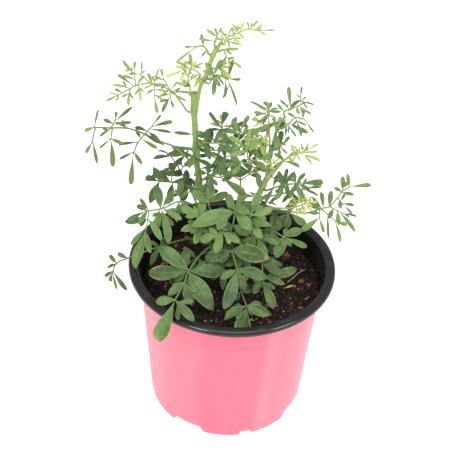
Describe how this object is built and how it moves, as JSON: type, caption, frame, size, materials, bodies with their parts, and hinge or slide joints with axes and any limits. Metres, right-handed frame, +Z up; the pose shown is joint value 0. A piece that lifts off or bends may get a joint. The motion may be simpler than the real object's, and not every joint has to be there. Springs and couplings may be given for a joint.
{
  "type": "potted rue",
  "caption": "Potted rue: a small branching herb with divided blue-green leaves and yellow-green shoots, in soil in a round two-layer plastic nursery pot with a rolled rim and notched feet.",
  "frame": {"origin": "on the pot's axis, at the bottom of its feet", "axes": "+Z up along the pot's axis, -Y towards the front, +X to the viewer's right when seen from the front"},
  "size_m": [0.1542, 0.1288, 0.2456],
  "materials": {
    "pink_plastic": "satin",
    "black_plastic": "satin",
    "potting_soil": "rough",
    "stem": "smooth",
    "leaf_old": "matte",
    "leaf_mid": "matte",
    "leaf_young": "matte"
  },
  "bodies": {
    "root": {"leaf_back": "leaf_old", "leaf_back_high": "leaf_old", "leaf_back_left": "leaf_old", "leaf_back_right": "leaf_old", "leaf_centre": "leaf_old", "leaf_centre_front": "leaf_mid", "leaf_centre_left": "leaf_old", "leaf_centre_right": "leaf_old", "leaf_crown_drooping": "leaf_old", "leaf_crown_left": "leaf_old", "leaf_crown_right": "leaf_mid", "leaf_crown_top": "leaf_old", "leaf_far_right": "leaf_old", "leaf_front": "leaf_mid", "leaf_front_low": "leaf_mid", "leaf_front_right": "leaf_mid", "leaf_inner": "leaf_mid", "leaf_inner_broad": "leaf_old", "leaf_inner_high": "leaf_mid", "leaf_inner_left": "leaf_mid", "leaf_inner_low": "leaf_mid", "leaf_inner_right": "leaf_mid", "leaf_left": "leaf_old", "leaf_low_front": "leaf_old", "leaf_low_inner_left": "leaf_old", "leaf_low_left": "leaf_mid", "leaf_low_left_back": "leaf_old", "leaf_low_middle": "leaf_mid", "leaf_low_right": "leaf_mid", "leaf_middle": "leaf_old", "leaf_right_back": "leaf_mid", "leaf_right_front": "leaf_mid", "leaf_right_high": "leaf_old", "leaf_right_low": "leaf_old", "leaf_right_middle": "leaf_mid", "leaf_right_top": "leaf_mid", "leaf_right_top_left": "leaf_old", "leaf_right_top_low": "leaf_old", "leaf_right_top_right": "leaf_mid", "leaf_shoot_sheath": "leaf_mid", "leaf_shoulder": "leaf_old", "leaf_shoulder_left": "leaf_old", "leaf_top_left": "leaf_mid", "leaf_trailing": "leaf_old", "pot_black_layer": "black_plastic", "pot_pink_layer": "pink_plastic", "shoot_centre": "leaf_young", "shoot_fork": "leaf_young", "shoot_fork_low": "leaf_young", "shoot_right": "leaf_young", "shoot_side": "leaf_young", "shoot_tip": "leaf_young", "soil": "potting_soil", "stems": "stem", "whorl_left": "leaf_young", "whorl_right": "leaf_young"}
  },
  "joints": []
}
